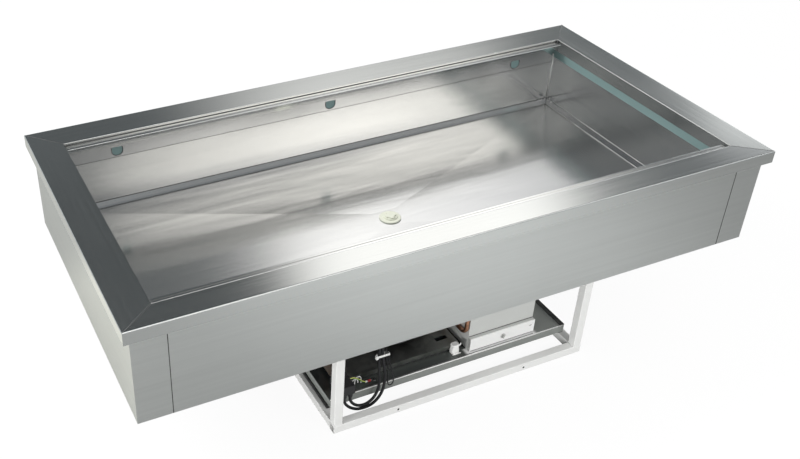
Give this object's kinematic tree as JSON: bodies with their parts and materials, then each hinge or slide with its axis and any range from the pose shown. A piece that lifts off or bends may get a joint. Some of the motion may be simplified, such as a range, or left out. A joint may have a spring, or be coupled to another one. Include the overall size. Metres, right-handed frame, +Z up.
{
  "type": "refrigerated drop-in well",
  "caption": "Long rectangular cold well with a mitred rim, support rails and drain, foamed casing, and a condensing unit on a tray in a tube frame below.",
  "frame": {"origin": "centre of the rim in plan, at the underside of the frame that the part stands on", "axes": "+X along the well towards its right end, +Y from front to rear, +Z up"},
  "size_m": [1.4, 0.709, 0.495],
  "materials": {
    "stainless": "fine brushed",
    "galvanised": "dull galvanised",
    "zinc_plated": "bright zinc",
    "frame_paint": "satin powder coat",
    "black_paint": "semi-gloss",
    "break_plastic": "matt",
    "foam": "cut foam",
    "copper_tube": "bare copper",
    "drain_plastic": "satin",
    "black_rubber": "matt",
    "black_plastic": "matt",
    "white_plastic": "satin",
    "fin_aluminium": "plain",
    "cable_black": "satin",
    "earth_green": "satin"
  },
  "bodies": {
    "well": {"rim_front": "stainless", "rim_rear": "stainless", "rim_left": "stainless", "rim_right": "stainless", "front_support_rail": "stainless", "rear_support_rail": "stainless", "thermal_break": "break_plastic", "tank": "stainless", "evaporator_coil": "copper_tube", "insulation": "foam", "front_panel": "stainless", "rear_panel": "stainless", "left_end_panel": "stainless", "right_end_panel": "stainless", "bottom_panel": "galvanised", "drain_outlet": "drain_plastic", "drain_gasket": "black_rubber", "drain_lock_nut": "drain_plastic", "base_rail_front": "frame_paint", "base_rail_rear": "frame_paint", "base_rail_left": "frame_paint", "base_rail_right": "frame_paint", "post_front_left": "frame_paint", "post_front_right": "frame_paint", "post_rear_left": "frame_paint", "post_rear_right": "frame_paint", "top_rail_front": "frame_paint", "top_rail_rear": "frame_paint", "top_rail_left": "frame_paint", "top_rail_right": "frame_paint", "mounting_bolts": "zinc_plated", "tray_strips": "black_rubber", "unit_tray": "galvanised", "unit_base_plate": "galvanised", "compressor": "black_paint", "compressor_grommets": "black_rubber", "terminal_cover": "black_plastic", "condenser_fins": "fin_aluminium", "condenser_tube": "copper_tube", "fan_shroud": "black_paint", "motor_bracket": "zinc_plated", "fan_motor": "black_paint", "discharge_pipe": "copper_tube", "liquid_pipe": "copper_tube", "filter_drier": "copper_tube", "suction_pipe": "copper_tube", "control_box": "galvanised", "terminal_box": "black_plastic", "cable_glands": "black_plastic", "cable_tie": "white_plastic", "cable_outer": "cable_black", "cable_inner": "cable_black", "thin_lead": "cable_black", "earth_wire": "earth_green", "earth_lug": "zinc_plated"},
    "fan": {"fan_shaft": "zinc_plated", "fan_blades": "fin_aluminium"},
    "drain_plug_body": {"drain_plug": "drain_plastic"},
    "box_cover": {"control_box_cover": "galvanised"},
    "fastener": {"turn_fastener": "zinc_plated"}
  },
  "joints": [
    {"name": "fan_spin", "type": "hinge", "parent": "well", "child": "fan", "pos_m": [-0.154, 0.035, 0.14], "axis": [1, 0, 0], "continuous": true},
    {"name": "plug_lift", "type": "slide", "parent": "well", "child": "drain_plug_body", "axis": [0, 0, 1], "range_m": [0, 0.06]},
    {"name": "cover_draw", "type": "slide", "parent": "well", "child": "box_cover", "axis": [0, -1, 0], "range_m": [0, 0.04]},
    {"name": "fastener_turn", "type": "hinge", "parent": "box_cover", "child": "fastener", "pos_m": [0.189, -0.2123, 0.067], "axis": [0, 1, 0], "range_deg": [0, 90]}
  ]
}
